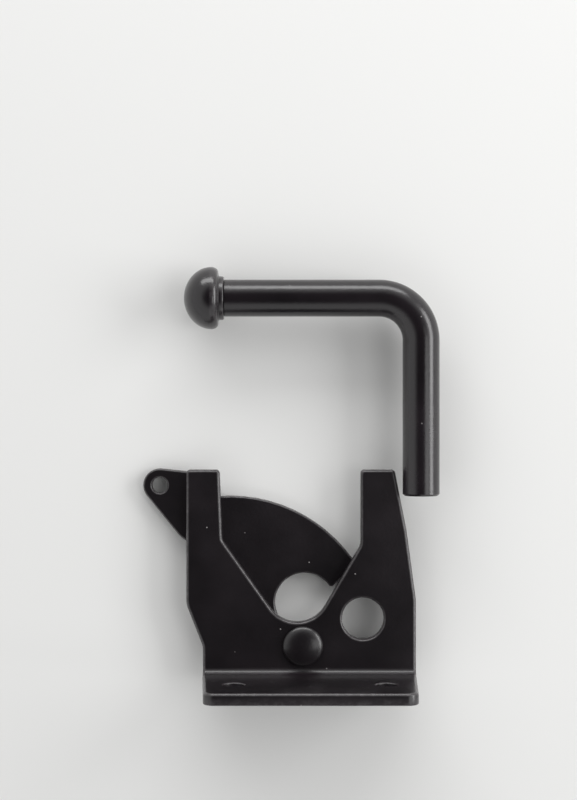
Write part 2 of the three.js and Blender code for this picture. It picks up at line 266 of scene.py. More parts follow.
class FinishSettings(bpy.types.PropertyGroup):
    """Colours and finishes."""

    plate: colour("Plate black", (0.0052, 0.0040, 0.0050), "Colour of the coated plates")
    rod: colour("Rod black", (0.0062, 0.0048, 0.0060), "Colour of the coated striker")
    # Lighter edge colour: a rubbed-down coat, and a painted highlight along the rolled edges.
    worn_and_highlit: colour("Worn edge", (0.075, 0.068, 0.072), "Colour where the coat is thin over an edge")
    dust: colour("Dust", (0.33, 0.31, 0.31), "Colour of dust on the coat")
    steel: colour("Zinc", (0.48, 0.48, 0.50), "Colour of the zinc plated washer")
    plate_rough: share("Plate roughness", 0.32, "Roughness of the coated plates")
    rod_rough: share("Rod roughness", 0.24, "Roughness of the coated striker")


class StudioSettings(bpy.types.PropertyGroup):
    """Camera, floor and lights."""

    camera: place("Camera place", -5.4, 73.6, "Where the camera stands over the part")
    height: length("Camera height", 437.0, "Height of the camera above the floor")
    lens: FloatProperty(name="Lens", default=75.06, description="Focal length in millimetres")
    floor: colour("Floor", (0.80, 0.80, 0.79), "Colour of the floor")
    floor_width: length("Floor width", 2400.0, "Width of the floor")


SETTINGS = {
    "latch_body": BodySettings,
    "latch_pawl": PawlSettings,
    "latch_pivot": PivotSettings,
    "latch_striker": StrikerSettings,
    "latch_finish": FinishSettings,
    "latch_studio": StudioSettings,
}


# ---------------------------------------------------------------- outlines

def arc(centre, radius, start, end, clockwise=False):
    """Points along an arc, from one angle to another, in radians."""
    turn = (start - end if clockwise else end - start) % (2 * math.pi)
    count = max(3, math.ceil(turn / ARC_STEP))
    sign = -1 if clockwise else 1
    angles = [start + sign * turn * i / count for i in range(count + 1)]
    return [Vector((centre[0] + radius * math.cos(a), centre[1] + radius * math.sin(a))) for a in angles]


def circle(centre, radius, count=72):
    """Points round a hole, clockwise, so that the metal is on the left."""
    angles = [-2 * math.pi * i / count for i in range(count)]
    return [Vector((centre[0] + radius * math.cos(a), centre[1] + radius * math.sin(a))) for a in angles]


def round_corner(before, corner, after, radius):
    """The arc that rounds a corner and touches both of its sides."""
    back = (before - corner).normalized()
    ahead = (after - corner).normalized()
    half = back.angle(ahead) / 2
    middle = corner + (back + ahead).normalized() * radius / math.sin(half)
    reach = radius / math.tan(half)
    start = corner + back * reach - middle
    end = corner + ahead * reach - middle
    clockwise = back.cross(ahead) > 0
    return arc(middle, radius, math.atan2(start.y, start.x), math.atan2(end.y, end.x), clockwise)


def outline(steps):
    """A closed outline. A step is a corner (x, y, radius) or a list of points from arc()."""
    points = []
    for i, step in enumerate(steps):
        if isinstance(step, list):
            points += step
            continue
        before, after = steps[i - 1], steps[(i + 1) % len(steps)]
        last = before[-1] if isinstance(before, list) else Vector(before[:2])
        following = after[0] if isinstance(after, list) else Vector(after[:2])
        points += round_corner(last, Vector(step[:2]), following, step[2])
    return [p for i, p in enumerate(points) if (p - points[i - 1]).length > LEAST_STEP]


def inset(points, distance):
    """The outline moved to its left by a distance, corner by corner."""
    least_lean = 0.3
    moved = []
    for i, point in enumerate(points):
        before = (point - points[i - 1]).normalized()
        after = (points[(i + 1) % len(points)] - point).normalized()
        left = Vector((-before.y - after.y, before.x + after.x)).normalized()
        lean = max(least_lean, left.dot(Vector((-before.y, before.x))))
        moved.append(point + left * distance / lean)
    return moved


def rolled_edge(thickness, back, front):
    """The edge of a blanked sheet: (inset, height, wear) from its back face to its front face."""
    steps = [i / ROLL_STEPS * math.pi / 2 for i in range(ROLL_STEPS + 1)]
    # The third value lightens the coat: rubbed edges, and a painted highlight that peaks halfway round the
    # front roll.
    back_wear_and_highlight = 0.7
    low = [(back * (1 - math.sin(a)), back * (1 - math.cos(a)), back_wear_and_highlight) for a in steps]
    high = [
        (front * (1 - math.cos(a)), thickness - front * (1 - math.sin(a)), math.sin(2 * a)) for a in steps
    ]
    return [(back + SUPPORT, 0.0, 0.0), *low, *high, (front + SUPPORT, thickness, 0.0)]


# ---------------------------------------------------------------- meshes

def cap(bm, rings, upward):
    """Fills the flat face between an outline, which comes first, and its round holes."""
    verts = [v for ring in rings for v in ring]
    owner = [i for i, ring in enumerate(rings) for _ in ring]
    edges = []
    for ring in rings:
        first = len(edges)
        edges += [(first + i, first + (i + 1) % len(ring)) for i in range(len(ring))]
    flat = [Vector((v.co.x / MM, v.co.y / MM)) for v in verts]
    inside, nearness = 1, 1e-6
    _, _, faces, sources, _, _ = delaunay_2d_cdt(flat, edges, [], inside, nearness)
    for face in faces:
        corners = [sources[i][0] for i in face]
        rings_met = {owner[i] for i in corners}
        if len(rings_met) > 1 or rings_met == {0}:
            bm.faces.new([verts[i] for i in (corners if upward else corners[::-1])])


def face_outward(bm):
    """Turns every face of a closed form outward."""
    bmesh.ops.recalc_face_normals(bm, faces=bm.faces)
    if bm.calc_volume(signed=True) < 0:
        bmesh.ops.reverse_faces(bm, faces=bm.faces)


def sheet_solid(loops):
    """A solid sheet from (outline, edge profile) pairs: the outer edge first, then the holes."""
    bm = bmesh.new()
    wear_and_highlight = bm.verts.layers.float.new(EDGE)
    backs, fronts = [], []
    for points, profile in loops:
        rings = []
        for distance, height, amount in profile:
            ring = [bm.verts.new((p.x, p.y, height)) for p in inset(points, distance)]
            for vert in ring:
                vert[wear_and_highlight] = amount
            rings.append(ring)
        for low, high in zip(rings, rings[1:]):
            for i in range(len(low)):
                j = (i + 1) % len(low)
                bm.faces.new((low[i], low[j], high[j], high[i]))
        backs.append(rings[0])
        fronts.append(rings[-1])
    cap(bm, backs, upward=False)
    cap(bm, fronts, upward=True)
    face_outward(bm)
    return bm


def lathe(profile, count, closed=False):
    """Turns (radius, height, wear) points about Z. A point at radius 0 is a single vertex.

    A closed profile also joins its last point to its first.
    """
    bm = bmesh.new()
    wear_and_highlight = bm.verts.layers.float.new(EDGE)
    rings = []
    for radius, height, amount in profile:
        angles = [0.0] if radius == 0 else [2 * math.pi * i / count for i in range(count)]
        ring = [bm.verts.new((radius * math.cos(a), radius * math.sin(a), height)) for a in angles]
        for vert in ring:
            vert[wear_and_highlight] = amount
        rings.append(ring)
    pairs = list(zip(rings, rings[1:])) + ([(rings[-1], rings[0])] if closed else [])
    for low, high in pairs:
        for i in range(count):
            j = (i + 1) % count
            corners = [low[i % len(low)], low[j % len(low)], high[j % len(high)], high[i % len(high)]]
            bm.faces.new(list(dict.fromkeys(corners)))
    face_outward(bm)
    return bm


def quarter(centre, radius, start, end, wear_and_highlight, count=8):
    """(radius, height, wear) points along an ellipse's arc in a lathe's profile; angles in degrees."""
    on_axis = 1e-9
    points = []
    for i in range(count + 1):
        angle = math.radians(start + (end - start) * i / count)
        out = centre[0] + radius[0] * math.cos(angle)
        points.append((out if out > on_axis else 0, centre[1] + radius[1] * math.sin(angle), wear_and_highlight))
    return points


def new_piece(name, bm, material):
    """Makes an object of a finished bmesh, smooth but for its sharp edges."""
    for face in bm.faces:
        face.smooth = True
    for edge in bm.edges:
        edge.smooth = edge.calc_face_angle(0.0) < SHARP
    mesh = bpy.data.meshes.new(name)
    bm.to_mesh(mesh)
    bm.free()
    mesh.materials.append(material)
    piece = bpy.data.objects.new(name, mesh)
    bpy.context.scene.collection.objects.link(piece)
    return piece


def bake_tree(name, seed, tree, values, material):
    """Runs a geometry node tree on a seed mesh, and returns its result as a plain mesh object."""
    carrier = bpy.data.objects.new(name + "_seed", seed)
    bpy.context.scene.collection.objects.link(carrier)
    modifier = carrier.modifiers.new("Build", "NODES")
    modifier.node_group = tree
    sockets = {item.name: item.identifier for item in tree.interface.items_tree if item.in_out == "INPUT"}
    for label, value in {**values, "Material": material}.items():
        modifier[sockets[label]] = value
    graph = bpy.context.evaluated_depsgraph_get()
    mesh = bpy.data.meshes.new_from_object(carrier.evaluated_get(graph))
    bpy.data.objects.remove(carrier)
    mesh.name = name
    bm = bmesh.new()
    bm.from_mesh(mesh)
    bmesh.ops.remove_doubles(bm, verts=bm.verts, dist=TOUCHING)
    face_outward(bm)
    bpy.data.meshes.remove(mesh)
    return new_piece(name, bm, material)


# ---------------------------------------------------------------- node trees

class Tree:
    """A short way to add nodes and links to a node tree."""

    def __init__(self, tree):
        self.tree = tree

    def add(self, kind, inputs=(), **options):
        made = self.tree.nodes.new(kind)
        for option, value in options.items():
            setattr(made, option, value)
        for socket, value in dict(inputs).items():
            if isinstance(value, bpy.types.NodeSocket):
                self.tree.links.new(value, made.inputs[socket])
            else:
                made.inputs[socket].default_value = value
        return made

    def math(self, operation, first, second=0.0):
        return self.add("ShaderNodeMath", {0: first, 1: second}, operation=operation).outputs[0]


def geometry_tree(name, inputs):
    """A geometry node tree with named inputs, and its group input and output nodes."""
    tree = bpy.data.node_groups.new(name, "GeometryNodeTree")
    tree.interface.new_socket("Geometry", in_out="INPUT", socket_type="NodeSocketGeometry")
    tree.interface.new_socket("Geometry", in_out="OUTPUT", socket_type="NodeSocketGeometry")
    for label, kind in inputs.items():
        tree.interface.new_socket(label, in_out="INPUT", socket_type=kind)
    tree.interface.new_socket("Material", in_out="INPUT", socket_type="NodeSocketMaterial")
    build = Tree(tree)
    return build, build.add("NodeGroupInput"), build.add("NodeGroupOutput")


def finish_tree(build, given, result, geometry):
    """Ends a tree as every tree here ends: realised, and with its material set."""
    realised = build.add("GeometryNodeRealizeInstances", {"Geometry": geometry})
    painted = build.add("GeometryNodeSetMaterial", {
        "Geometry": realised.outputs[0], "Material": given.outputs["Material"],
    })
    build.tree.links.new(painted.outputs[0], result.inputs[0])
    return build.tree


def sweep(build, path, profile):
    """Carries a profile along a path, scaled by the path's radius, with closed ends."""
    swept = build.add("GeometryNodeCurveToMesh", {
        "Curve": path, "Profile Curve": profile, "Fill Caps": True,
    })
    if "Scale" in swept.inputs:
        radius = build.add("GeometryNodeInputRadius").outputs[0]
        build.tree.links.new(radius, swept.inputs["Scale"])
    return swept.outputs[0]


def rod_tree():
    """A round rod along a bent centre line. The seed's points carry the rod's radius as girth."""
    build, given, result = geometry_tree("Bent rod", {
        "Bend Radius": "NodeSocketFloat", "Bend Steps": "NodeSocketInt", "Sides": "NodeSocketInt",
    })
    line = build.add("GeometryNodeMeshToCurve", {"Mesh": given.outputs["Geometry"]})
    bent = build.add("GeometryNodeFilletCurve", {
        "Curve": line.outputs[0],
        "Radius": given.outputs["Bend Radius"],
        "Count": given.outputs["Bend Steps"],
    }, mode="POLY")
    girth = build.add("GeometryNodeInputNamedAttribute", {"Name": "girth"}, data_type="FLOAT")
    sized = build.add("GeometryNodeSetCurveRadius", {"Curve": bent.outputs[0], "Radius": girth.outputs[0]})
    ring = build.add("GeometryNodeCurvePrimitiveCircle", {
        "Resolution": given.outputs["Sides"], "Radius": 1.0,
    })
    return finish_tree(build, given, result, sweep(build, sized.outputs[0], ring.outputs[0]))


def stud_tree():
    """Stop studs at the seed's points, each with a rippled weld bead. The points carry the studs' radii.

    A stud is made with a radius of 1 and then scaled across by its own, but not along.
    """
    build, given, result = geometry_tree("Welded studs", {
        "Length": "NodeSocketFloat", "Chamfer": "NodeSocketFloat", "Bead": "NodeSocketFloat",
        "Ripples": "NodeSocketInt",
    })
    top = build.add("ShaderNodeCombineXYZ", {"Z": given.outputs["Length"]})
    line = build.add("GeometryNodeCurvePrimitiveLine", {"End": top.outputs[0]})
    fine = build.add("GeometryNodeResampleCurve", {"Curve": line.outputs[0], "Count": 40})
    height = build.add("ShaderNodeSeparateXYZ", {0: build.add("GeometryNodeInputPosition").outputs[0]})
    slope = build.math("DIVIDE", height.outputs["Z"], given.outputs["Chamfer"])
    lost = build.math("SUBTRACT", 1.0, build.math("MINIMUM", slope, 1.0))
    narrow = build.math("SUBTRACT", 1.0, build.math("MULTIPLY", lost, NOSE_SHARE))
    shaped = build.add("GeometryNodeSetCurveRadius", {"Curve": fine.outputs[0], "Radius": narrow})
    unit = build.add("GeometryNodeCurvePrimitiveCircle", {"Resolution": 48, "Radius": 1.0})
    stud = sweep(build, shaped.outputs[0], unit.outputs[0])
    around = build.add("GeometryNodeCurvePrimitiveCircle", {"Resolution": 112, "Radius": BEAD_REACH})
    along = build.add("GeometryNodeSplineParameter").outputs["Factor"]
    turns = build.math("MULTIPLY", given.outputs["Ripples"], math.tau)
    wave = build.math("SINE", build.math("MULTIPLY", along, turns))
    swell = build.math("ADD", 1.0, build.math("MULTIPLY", wave, RIPPLE_SHARE))
    beaded = build.add("GeometryNodeSetCurveRadius", {
        "Curve": around.outputs[0], "Radius": build.math("MULTIPLY", swell, BEAD_SHARE),
    })
    bead_ring = build.add("GeometryNodeCurvePrimitiveCircle", {"Resolution": 16, "Radius": 1.0})
    bead = sweep(build, beaded.outputs[0], bead_ring.outputs[0])
    tall = build.add("ShaderNodeCombineXYZ", {
        "X": 1.0, "Y": 1.0, "Z": build.math("DIVIDE", given.outputs["Bead"], BEAD_SHARE),
    })
    lifted = build.add("GeometryNodeTransform", {
        "Geometry": bead, "Translation": top.outputs[0], "Scale": tall.outputs[0],
    })
    welded = build.add("GeometryNodeJoinGeometry")
    build.tree.links.new(stud, welded.inputs[0])
    build.tree.links.new(lifted.outputs[0], welded.inputs[0])
    girth = build.add("GeometryNodeInputNamedAttribute", {"Name": "girth"}, data_type="FLOAT")
    scale = build.add("ShaderNodeCombineXYZ", {"X": girth.outputs[0], "Y": girth.outputs[0], "Z": 1.0})
    copies = build.add("GeometryNodeInstanceOnPoints", {
        "Points": given.outputs["Geometry"], "Instance": welded.outputs[0], "Scale": scale.outputs[0],
    })
    return finish_tree(build, given, result, copies.outputs[0])


def seed_mesh(name, points, joined):
    """A mesh of (place, girth) points for a tree to work on, joined in a line or loose."""
    mesh = bpy.data.meshes.new(name)
    edges = [(i, i + 1) for i in range(len(points) - 1)] if joined else []
    mesh.from_pydata([tuple(p) for p, _ in points], edges, [])
    girth = mesh.attributes.new("girth", "FLOAT", "POINT")
    for item, (_, value) in zip(girth.data, points):
        item.value = value
    return mesh


# ---------------------------------------------------------------- finishes

def shader(name):
    """A new material, its tree and its principled shader."""
    material = bpy.data.materials.new(name)
    material.use_nodes = True
    build = Tree(material.node_tree)
    return material, build, material.node_tree.nodes["Principled BSDF"]


def noise(build, place_on, scale, detail=3.0, roughness=0.5):
    return build.add("ShaderNodeTexNoise", {
        "Vector": place_on, "Scale": scale, "Detail": detail, "Roughness": roughness,
    }).outputs["Fac"]


def between(build, value, low, high, to_low=0.0, to_high=1.0):
    return build.add("ShaderNodeMapRange", {
        "Value": value, "From Min": low, "From Max": high, "To Min": to_low, "To Max": to_high,
    }).outputs[0]


def blend_colour(build, factor, first, second):
    """Mixes two colours, each a socket or an (r, g, b)."""
    colour_a, colour_b, colour_out = 6, 7, 2
    mix = build.add("ShaderNodeMix", {0: factor}, data_type="RGBA")
    for socket, value in ((mix.inputs[colour_a], first), (mix.inputs[colour_b], second)):
        if isinstance(value, bpy.types.NodeSocket):
            build.tree.links.new(value, socket)
        else:
            socket.default_value = (*value, 1.0)
    return mix.outputs[colour_out]


def bumps(build, height, strength, distance, under=None):
    made = build.add("ShaderNodeBump", {"Height": height, "Strength": strength, "Distance": distance})
    if under is not None:
        build.tree.links.new(under, made.inputs["Normal"])
    return made.outputs[0]


def black_coat(name, black, roughness, settings):
    """A baked black coat on steel: faint orange peel, lighter over the edges where it is rubbed down and
    where a highlight is painted, with dust on it.
    """
    material, build, coat = shader(name)
    spot = build.add("ShaderNodeTexCoord").outputs["Object"]
    wear_and_highlight = build.add("ShaderNodeAttribute", attribute_name=EDGE).outputs["Fac"]
    cloud = noise(build, spot, scale=60.0, detail=4.0)
    peel = noise(build, spot, scale=1100.0, detail=2.0, roughness=0.4)
    grain = noise(build, spot, scale=5200.0, detail=2.0, roughness=0.5)

    # Lighter edges: partly a rubbed, chipped coat, partly a painted highlight along the rolled edges.
    chips = between(build, noise(build, spot, scale=700.0, detail=5.0, roughness=0.7), low=0.46, high=0.66)
    always_thin_and_highlit, chipped = 0.35, 0.65
    patchy = build.math("ADD", always_thin_and_highlit, build.math("MULTIPLY", chips, chipped))
    thin_and_highlit = build.math("MULTIPLY", wear_and_highlight, patchy)

    specks = build.add("ShaderNodeTexVoronoi", {"Vector": spot, "Scale": 420.0}, feature="F1")
    speck = between(build, specks.outputs["Distance"], low=0.085, high=0.045)
    lot = build.add("ShaderNodeSeparateColor", {0: specks.outputs["Color"]}).outputs[0]
    dusty = build.math("MULTIPLY", speck, between(build, lot, low=0.84, high=0.86))

    warm = tuple(c * w for c, w in zip(black, (1.9, 1.7, 1.8)))
    base = blend_colour(build, between(build, cloud, low=0.3, high=0.75), tuple(black), warm)
    # Paints the edge highlight and the rubbed coat in the lighter edge colour.
    edged = blend_colour(build, thin_and_highlit, base, tuple(settings.worn_and_highlit))
    dust_cover, dust_rough = 0.85, 0.4
    dusted = blend_colour(build, build.math("MULTIPLY", dusty, dust_cover), edged, tuple(settings.dust))
    build.tree.links.new(dusted, coat.inputs["Base Color"])

    uneven = between(build, cloud, low=0.25, high=0.75, to_low=roughness - 0.05, to_high=roughness + 0.07)
    rough = build.math("ADD", uneven, build.math("MULTIPLY", dusty, dust_rough))
    build.tree.links.new(rough, coat.inputs["Roughness"])

    peeled = bumps(build, peel, strength=0.22, distance=0.12 * MM)
    grained = bumps(build, grain, strength=0.12, distance=0.04 * MM, under=peeled)
    raised = bumps(build, dusty, strength=0.4, distance=0.1 * MM, under=grained)
    build.tree.links.new(raised, coat.inputs["Normal"])
    coat.inputs["Metallic"].default_value = 0.0
    coat.inputs["IOR"].default_value = 1.5
    coat.inputs["Coat Weight"].default_value = 0.25
    coat.inputs["Coat Roughness"].default_value = 0.18
    return material


def zinc_plate(name, settings):
    """Zinc plated steel with a fine grain and a faint cloud."""
    material, build, zinc = shader(name)
    spot = build.add("ShaderNodeTexCoord").outputs["Object"]
    cloud = noise(build, spot, scale=350.0, detail=4.0)
    marks = noise(build, spot, scale=3000.0)
    shade = tuple(c * 0.7 for c in settings.steel)
    tone = blend_colour(build, cloud, shade, tuple(settings.steel))
    build.tree.links.new(tone, zinc.inputs["Base Color"])
    rough = between(build, cloud, low=0.3, high=0.7, to_low=0.26, to_high=0.42)
    build.tree.links.new(rough, zinc.inputs["Roughness"])
    build.tree.links.new(bumps(build, marks, strength=0.2, distance=0.05 * MM), zinc.inputs["Normal"])
    zinc.inputs["Metallic"].default_value = 1.0
    return material


def finish(name):
    """The material of one finish, made the first time that it is asked for."""
    settings = bpy.context.scene.latch_finish
    if name in bpy.data.materials:
        return bpy.data.materials[name]
    if name == "zinc plate":
        return zinc_plate(name, settings)
    black, roughness = {
        "black coated plate": (settings.plate, settings.plate_rough),
        "black coated rod": (settings.rod, settings.rod_rough),
    }[name]
    return black_coat(name, black, roughness, settings)


# ---------------------------------------------------------------- latch body

def bend_zone(settings):
    """(outside radius, neutral radius, developed place of the bend's flange end)."""
    outside = settings.bend_inside + SHEET
    neutral = settings.bend_inside + SHEET / 2
    return outside, neutral, outside - neutral * math.pi / 2


def body_blank(settings):
    """The body's flat blank with its holes. Its Y runs down the cheek, past the bend and into the flange."""
    outside, _, flange_start = bend_zone(settings)
    flange_length = BODY_HIGH.z - (BODY_LOW.z + outside)
    end = flange_start - flange_length
    half, edge = BODY_HIGH.x, BODY_HIGH.x - settings.taper
    top = BODY_HIGH.y
    outer = outline([
        (half, flange_start, settings.fold_round),
        (half, settings.right_foot, settings.right_foot_round),
        (*settings.right_waist, settings.waist_round),
        (settings.right_mouth, top, settings.arm_corner),
        (settings.right_inside, top, settings.arm_corner),
        (settings.right_inside, settings.right_knee, settings.knee),
        arc(settings.seat, settings.seat_radius, settings.seat_start, settings.seat_end, clockwise=True),
        (*settings.left_knee, settings.knee),
        (settings.left_mouth, top, settings.arm_corner),
        (BODY_LOW.x, top, settings.arm_corner),
        (BODY_LOW.x, settings.left_foot, settings.left_foot_round),
        (-half, settings.hip, settings.hip_round),
        (-half, flange_start, settings.fold_round),
        (-edge, end, settings.flange_corner),
        (edge, end, settings.flange_corner),
    ])
    pivot = bpy.context.scene.latch_pivot
    blanked, pierced, bored = [
        rolled_edge(SHEET, settings.burr, front)
        for front in (settings.roll, settings.padlock_roll, settings.hole_roll)
    ]
    screw_x = settings.screw_spacing / 2
    screw_y = flange_start - (settings.screw_height - BODY_LOW.z - outside)
    return [
        (outer, blanked),
        (circle(settings.padlock, settings.padlock_radius), pierced),
        (circle(PIVOT.xy, pivot.shank + pivot.clearance), bored),
        *[(circle((x, screw_y), settings.screw_radius), bored) for x in (-screw_x, screw_x)],
    ]


def fold_flange(bm, settings):
    """Bends the flat blank: the cheek stays, and the rest turns up round the bend into the flange."""
    outside, neutral, flange_start = bend_zone(settings)
    for i in range(BEND_STEPS + 1):
        level = outside + (flange_start - outside) * i / BEND_STEPS
        everything = [*bm.verts, *bm.edges, *bm.faces]
        bmesh.ops.bisect_plane(
            bm, geom=everything, dist=TOUCHING, plane_co=(0, level, 0), plane_no=(0, 1, 0)
        )
    for vert in bm.verts:
        x, y, w = vert.co
        angle = min(max((outside - y) / neutral, 0.0), math.pi / 2)
        beyond = max(flange_start - y, 0.0)
        reach = outside - w
        vert.co = (
            x,
            y if angle == 0 else outside - reach * math.sin(angle),
            BODY_LOW.z + outside - reach * math.cos(angle) + beyond,
        )


class GATE_LATCH_OT_body(bpy.types.Operator):
    """Blank, pierce and bend the latch body, with its rolled front edge"""

    bl_idname = "gate_latch.body"
    bl_label = "Latch Body"

    def execute(self, context):
        settings = context.scene.latch_body
        bm = sheet_solid(body_blank(settings))
        fold_flange(bm, settings)
        body = new_piece("stamped_body", bm, finish("black coated plate"))
        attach(body, "latch")
        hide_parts("latch_body")
        return {"FINISHED"}


# ---------------------------------------------------------------- pawl

def pawl_blank(settings):
    """The pawl's outline about its pivot, with its two holes."""
    tail_top = math.asin(settings.tail_top / settings.slot_hub)
    tail_foot = math.asin(settings.tail_bottom / settings.hub)
    closed_stop = STUD_BOXES[0][0]
    shoulder = closed_stop.x - settings.stop_gap - PIVOT.x
    cam = arc(settings.cam, settings.cam_radius, settings.cam_start, settings.cam_end)
    outer = outline([
        arc((0, 0), settings.hub, settings.hub_start, tail_foot),
        (settings.tail_end, settings.tail_bottom, settings.tail_corner),
        (settings.tail_end, settings.tail_top, settings.tail_corner),
        arc((0, 0), settings.slot_hub, tail_top, settings.slot_hub_end),
        arc(settings.notch, settings.notch_radius, settings.notch_start, settings.notch_end, clockwise=True),
        (*settings.nose, settings.nose_round),
        (*settings.cam_foot, settings.nose_round),
        cam,
        (shoulder, cam[-1].y - settings.shoulder_drop, settings.nose_round),
        (shoulder, settings.shoulder_top, settings.shoulder_round),
        arc(settings.ear, settings.ear_radius, settings.ear_start, settings.ear_end),
        (*settings.arm_elbow, settings.arm_round),
        (*settings.arm_foot, settings.arm_round),
        (*settings.hollow_top, settings.hollow_top_round),
        (*settings.hollow_foot, settings.hollow_foot_round),
    ])
    pivot = bpy.context.scene.latch_pivot
    sink = pivot.tail - pivot.shank
    edge = settings.bore_edge
    # The third values lighten the coat round the bore: rubbing, and a painted highlight.
    bore = [
        (sink + SUPPORT, 0.0, 0.0),
        (sink, 0.0, 0.5),
        (0.0, pivot.tail_height, 0.4),
        (0.0, SHEET - edge, 0.4),
        (edge, SHEET, 0.4),
        (edge + SUPPORT, SHEET, 0.0),
    ]
    cord_hole = circle(settings.ear, settings.cord_radius, count=48)
    return [
        (outer, rolled_edge(SHEET, settings.burr, settings.roll)),
        (circle((0, 0), pivot.shank + pivot.clearance), bore),
        (cord_hole, rolled_edge(SHEET, settings.burr, settings.cord_roll)),
    ]


class GATE_LATCH_OT_pawl(bpy.types.Operator):
    """Blank the pawl, with its cam edge, striker notch and pull-cord ear"""

    bl_idname = "gate_latch.pawl"
    bl_label = "Pawl"

    def execute(self, context):
        bm = sheet_solid(pawl_blank(context.scene.latch_pawl))
        bmesh.ops.translate(bm, verts=bm.verts, vec=(PIVOT.x, PIVOT.y, PAWL_LOW.z))
        pawl = new_piece("notched_pawl", bm, finish("black coated plate"))
        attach(pawl, "pawl")
        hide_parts("pawl")
        return {"FINISHED"}


# ---------------------------------------------------------------- pivot and stops

def rivet_profile(settings):
    """From the flush tail, up the shank, and over the domed head."""
    head = (RIVET_HIGH.x - RIVET_LOW.x) / 2
    top = RIVET_HIGH.z - RIVET_LOW.z
    under = BODY_LOW.z + SHEET - RIVET_LOW.z + settings.head_gap
    rim = under + settings.head_edge
    soft = settings.soft
    # The third values lighten the coat's edges: rubbing, and a painted highlight.
    return [
        (0.0, 0.0, 0.0),
        (settings.tail - 2 * soft, 0.0, 0.0),
        (settings.tail - soft, soft, 0.8),
        (settings.shank, settings.tail_height, 0.3),
        (settings.shank, under, 0.0),
        (head - 2 * soft, under, 0.0),
        (head - soft / 2, under + soft, 0.7),
        *quarter((0.0, rim), (head, top - rim), start=0, end=90, wear_and_highlight=0.0, count=16),
    ]


def washer_profile(settings):
    """A flat washer with rounded edges, as a closed ring."""
    inner = settings.shank + settings.clearance
    outer = (WASHER_HIGH.x - WASHER_LOW.x) / 2
    low, high = WASHER_LOW.z, WASHER_HIGH.z
    soft = settings.soft
    return [
        (inner + soft, low, 0.4),
        (outer - soft, low, 0.4),
        (outer, low + soft, 0.6),
        (outer, high - soft, 0.6),
        (outer - soft, high, 0.4),
        (inner + soft, high, 0.4),
        (inner, high - soft, 0.4),
        (inner, low + soft, 0.4),
    ]


class GATE_LATCH_OT_rivet(bpy.types.Operator):
    """Turn the pivot rivet, with its flush tail and domed head"""

    bl_idname = "gate_latch.rivet"
    bl_label = "Pivot Rivet"

    def execute(self, context):
        settings = context.scene.latch_pivot
        turned = lathe(rivet_profile(settings), settings.sides)
        bmesh.ops.translate(turned, verts=turned.verts, vec=(PIVOT.x, PIVOT.y, RIVET_LOW.z))
        rivet = new_piece("domed_rivet", turned, finish("black coated plate"))
        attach(rivet, "latch")
        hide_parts("pivot_rivet")
        return {"FINISHED"}


class GATE_LATCH_OT_washer(bpy.types.Operator):
    """Turn the washer that keeps the pawl off the cheek"""

    bl_idname = "gate_latch.washer"
    bl_label = "Pivot Washer"

    def execute(self, context):
        settings = context.scene.latch_pivot
        turned = lathe(washer_profile(settings), settings.sides, closed=True)
        bmesh.ops.translate(turned, verts=turned.verts, vec=(PIVOT.x, PIVOT.y, 0))
        washer = new_piece("zinc_washer", turned, finish("zinc plate"))
        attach(washer, "latch")
        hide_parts("pivot_washer")
        return {"FINISHED"}


class GATE_LATCH_OT_studs(bpy.types.Operator):
    """Set the two stop studs, each with its weld bead, on the back of the body"""

    bl_idname = "gate_latch.studs"
    bl_label = "Stop Studs"

    def execute(self, context):
        settings = context.scene.latch_pivot
        places = []
        for low, high in STUD_BOXES:
            middle = (low + high) / 2
            places.append((Vector((middle.x, middle.y, low.z)), (high.x - low.x) / 2))
        seed = seed_mesh("stud places", places, joined=False)
        studs = bake_tree("welded_studs", seed, stud_tree(), {
            "Length": BODY_LOW.z - REST_LEVEL + HAIR,
            "Chamfer": settings.chamfer,
            "Bead": settings.weld,
            "Ripples": settings.ripples,
        }, finish("black coated plate"))
        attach(studs, "latch")
        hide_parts("closed_stop_stud", "open_stop_stud")
        return {"FINISHED"}


# ---------------------------------------------------------------- striker

def rod_path(settings):
    """(place, girth) along the rod: spigot, shoulder, bar, corner, leg, and the chamfered cut end."""
    spigot_end = ROD_LOW.x
    soft = settings.chamfer
    corner = Vector((LEG_X, BAR_Y, ROD_AXIS))

    def bar(x):
        return Vector((x, BAR_Y, ROD_AXIS))

    return [
        (bar(spigot_end), settings.spigot - soft),
        (bar(spigot_end + soft), settings.spigot),
        (bar(settings.shoulder - LEAST_STEP), settings.spigot),
        (bar(settings.shoulder), ROD_RADIUS - settings.lip),
        (bar(settings.shoulder + settings.lip), ROD_RADIUS),
        (corner, ROD_RADIUS),
        (Vector((LEG_X, ROD_LOW.y + soft, ROD_AXIS)), ROD_RADIUS),
        (Vector((LEG_X, ROD_LOW.y, ROD_AXIS)), ROD_RADIUS - soft),
    ]


def button_profile(settings):
    """From the bottom of the blind bore, over the collar and the back, round the rim and over the dome."""
    radius = (BUTTON_HIGH.y - BUTTON_LOW.y) / 2
    bore = settings.spigot + settings.bore_play
    bottom = ROD_LOW.x - settings.bore_room
    mouth = settings.shoulder - HAIR
    collar, soft = settings.collar, settings.collar_round
    rim_round = settings.rim_round
    rim_to_back = settings.back - settings.rim
    rim_to_tip = settings.rim - BUTTON_LOW.x
    # The third values lighten the coat's edges: rubbing, and a painted highlight.
    return [
        (0.0, bottom, 0.0),
        (bore, bottom, 0.0),
        (bore, mouth, 0.2),
        (collar - soft, mouth, 0.4),
        *quarter((collar - soft, mouth - soft), (soft, soft), start=70, end=0, wear_and_highlight=0.8, count=4),
        (collar, settings.back + soft, 0.0),
        (collar + soft, settings.back, 0.0),
        *quarter((radius - rim_round, settings.rim), (rim_round, rim_to_back), start=90, end=0, wear_and_highlight=0.5),
        *quarter((0.0, settings.rim), (radius, rim_to_tip), start=0, end=-90, wear_and_highlight=0.0, count=28)[1:],
    ]


